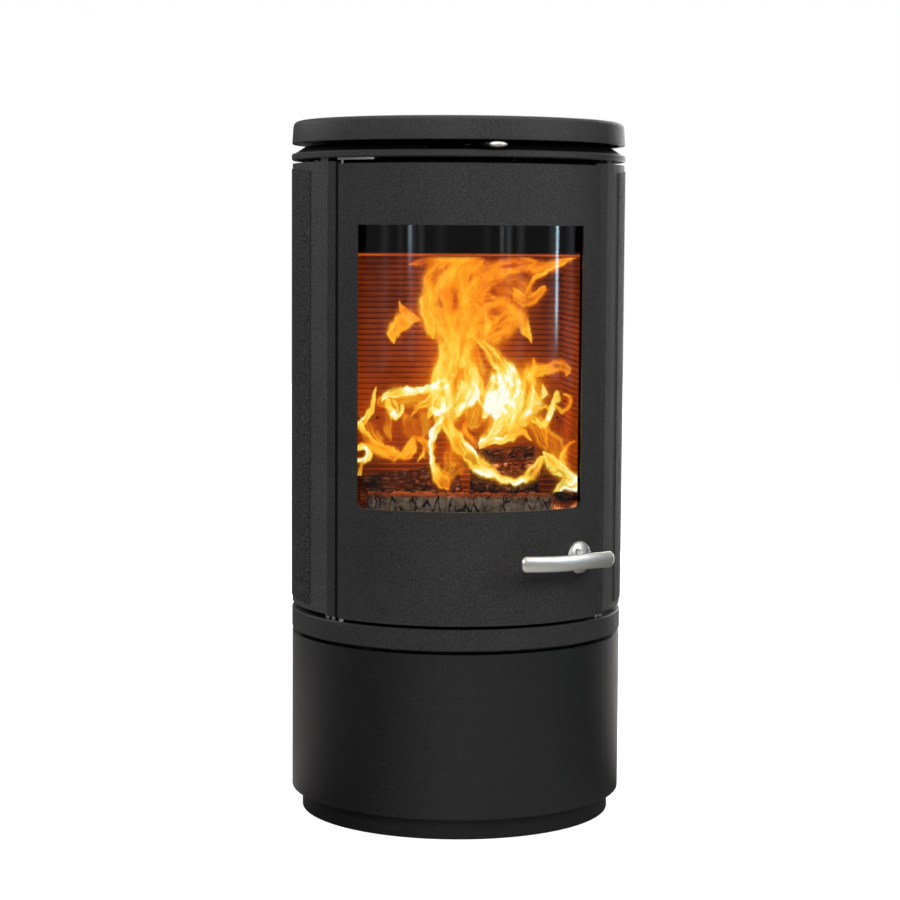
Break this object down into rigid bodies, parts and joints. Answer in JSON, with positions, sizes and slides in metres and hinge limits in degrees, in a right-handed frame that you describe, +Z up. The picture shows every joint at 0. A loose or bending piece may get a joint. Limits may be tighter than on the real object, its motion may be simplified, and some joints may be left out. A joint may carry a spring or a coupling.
{
  "type": "wood stove",
  "caption": "Free-standing round wood stove: a drum-shaped body with a curved glass door, lever handle and top air control, under a thick top plate and on a round pedestal.",
  "frame": {"origin": "centre of the round base, on the floor", "axes": "+Z up along the stove's round axis, -Y out through the middle of the door, +X to the viewer's right"},
  "size_m": [0.435, 0.4682, 0.9],
  "materials": {
    "cast": "matt heat-resistant paint on a fine casting",
    "steel": "matt black heat-resistant paint",
    "dark_iron": "black, rough",
    "zinc": "zinc plated",
    "brushed_steel": "satin, brushed along its length",
    "hearth": "heat-worn, lit by the fire",
    "rope": "woven glass rope",
    "bark": "split, ashy",
    "charred": "charred, cracked",
    "glass": "clear ceramic glass, lightly tinted"
  },
  "bodies": {
    "stove": {"plinth_pan": "dark_iron", "pedestal_shell": "steel", "base_ring": "cast", "front_frame": "cast", "right_side_panel": "cast", "left_side_panel": "cast", "rear_panel": "steel", "left_post_bolt": "zinc", "left_panel_bolt": "zinc", "right_post_bolt": "zinc", "right_panel_bolt": "zinc", "rim_collar": "cast", "top_plate_spacer_1": "zinc", "top_plate_spacer_2": "zinc", "top_plate_spacer_3": "zinc", "firebox_drum": "steel", "ash_chamber": "steel", "hearth_plate": "steel", "grate": "dark_iron", "log_retainer": "dark_iron", "baffle_plate": "steel", "air_wash_deflector": "steel", "back_liner": "hearth", "right_liner": "hearth", "left_liner": "hearth", "crown_plate": "steel", "flue_collar": "steel", "log_front": "bark", "log_left": "charred", "log_right": "charred", "log_upper": "charred", "log_stub": "charred", "upper_hinge_plate": "zinc", "upper_hinge_pin": "zinc", "lower_hinge_bush": "zinc", "lower_hinge_pin": "zinc", "latch_keeper": "zinc", "air_pivot_screw": "zinc", "top_plate": "cast"},
    "door": {"door_casting": "cast", "door_glass": "glass", "glass_gasket": "rope", "lower_left_glass_clip": "zinc", "lower_right_glass_clip": "zinc", "upper_left_glass_clip": "zinc", "upper_right_glass_clip": "zinc", "door_seal": "rope", "handle_rosette": "brushed_steel", "rosette_screw_1": "brushed_steel", "rosette_screw_2": "brushed_steel"},
    "handle": {"handle_lever": "brushed_steel", "handle_spindle": "brushed_steel", "latch_hook": "steel", "spindle_nut": "zinc"},
    "air_control": {"air_lever": "dark_iron", "air_knob": "brushed_steel", "air_shutter": "steel"},
    "flue_cover": {"flue_cover": "cast"},
    "ash_pan": {"ash_pan": "steel"}
  },
  "joints": [
    {"name": "door_hinge", "type": "hinge", "parent": "stove", "child": "door", "pos_m": [-0.15866, -0.14211, 0.557], "axis": [0, 0, -1], "range_deg": [0, 110]},
    {"name": "handle_turn", "type": "hinge", "parent": "door", "child": "handle", "pos_m": [0.13386, -0.16181, 0.351], "axis": [-0.6374, 0.7705, 0], "range_deg": [0, 40]},
    {"name": "air_lever_swing", "type": "hinge", "parent": "stove", "child": "air_control", "pos_m": [0, -0.11, 0.8645], "axis": [0, 0, -1], "range_deg": [0, 20.5]},
    {"name": "flue_cover_lift", "type": "slide", "parent": "stove", "child": "flue_cover", "axis": [0, 0, 1], "range_m": [0, 0.12]},
    {"name": "ash_pan_slide", "type": "slide", "parent": "stove", "child": "ash_pan", "axis": [0, -1, 0], "range_m": [0, 0.02]}
  ]
}
